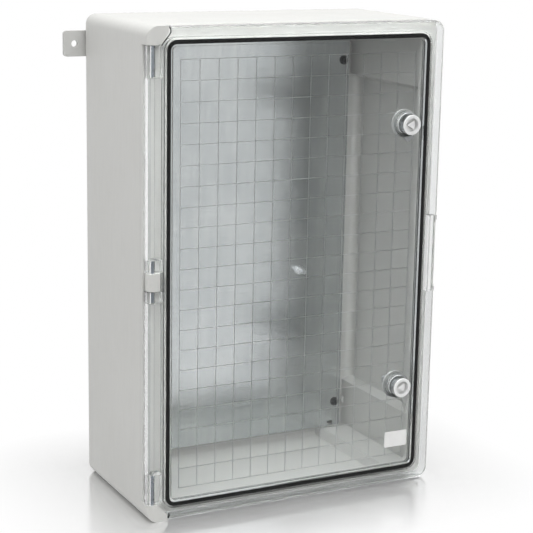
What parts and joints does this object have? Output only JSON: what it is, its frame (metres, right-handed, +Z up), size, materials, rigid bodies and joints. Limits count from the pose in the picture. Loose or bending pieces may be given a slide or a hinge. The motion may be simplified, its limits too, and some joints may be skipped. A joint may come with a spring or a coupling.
{
  "type": "electrical cabinet",
  "caption": "Upright plastic electrical cabinet: clear gridded door on pin hinges, rubber door seal, quarter-turn key locks, steel mounting plate and wall brackets.",
  "frame": {"origin": "middle of the underside, half way between the back face of the base and the front face of the door", "axes": "+Z up, the door faces -Y, its hinges are on the -X side"},
  "size_m": [0.45, 0.232, 0.6],
  "materials": {
    "base_grey": "light grey ABS with a fine moulded grain",
    "bracket_grey": "light grey moulded plastic",
    "clear_door": "clear polished plastic",
    "lock_white": "pale grey glass-filled plastic",
    "lock_metal": "die-cast zinc, plated bright",
    "tongue_steel": "dull zinc plated steel",
    "black_rubber": "foamed black rubber",
    "galvanised_plate": "galvanised sheet steel, rolled grain",
    "zinc_steel": "bright zinc plated",
    "pin_steel": "drawn steel",
    "dark_screw": "blackened steel",
    "brass_insert": "turned brass"
  },
  "bodies": {
    "cabinet": {"base_box": "base_grey", "mounting_plate": "galvanised_plate", "plate_inserts": "brass_insert", "plate_screws": "dark_screw", "plate_washers": "dark_screw", "earth_stud": "zinc_steel", "earth_washer": "zinc_steel", "earth_nut": "zinc_steel", "wall_bracket_left": "bracket_grey", "wall_bracket_right": "bracket_grey", "bracket_inserts": "brass_insert", "bracket_screws": "zinc_steel", "hinge_pin_top": "pin_steel", "hinge_pin_middle": "pin_steel", "hinge_pin_bottom": "pin_steel"},
    "door": {"door_panel": "clear_door", "door_seal": "black_rubber", "upper_lock_body": "lock_metal", "upper_lock_seal": "black_rubber", "upper_lock_nut": "lock_white", "lower_lock_body": "lock_metal", "lower_lock_seal": "black_rubber", "lower_lock_nut": "lock_white"},
    "upper_lock": {"upper_lock_core": "lock_metal", "upper_lock_tongue": "tongue_steel", "upper_lock_screw": "zinc_steel"},
    "lower_lock": {"lower_lock_core": "lock_metal", "lower_lock_tongue": "tongue_steel", "lower_lock_screw": "zinc_steel"}
  },
  "joints": [
    {"name": "door_hinge", "type": "hinge", "parent": "cabinet", "child": "door", "pos_m": [-0.191, -0.096, 0.3], "axis": [0, 0, -1], "range_deg": [0, 100]},
    {"name": "upper_lock_turn", "type": "hinge", "parent": "door", "child": "upper_lock", "pos_m": [0.146, -0.105, 0.473], "axis": [0, -1, 0], "range_deg": [-45, 45]},
    {"name": "lower_lock_turn", "type": "hinge", "parent": "door", "child": "lower_lock", "pos_m": [0.146, -0.105, 0.134], "axis": [0, -1, 0], "range_deg": [-45, 45]}
  ]
}
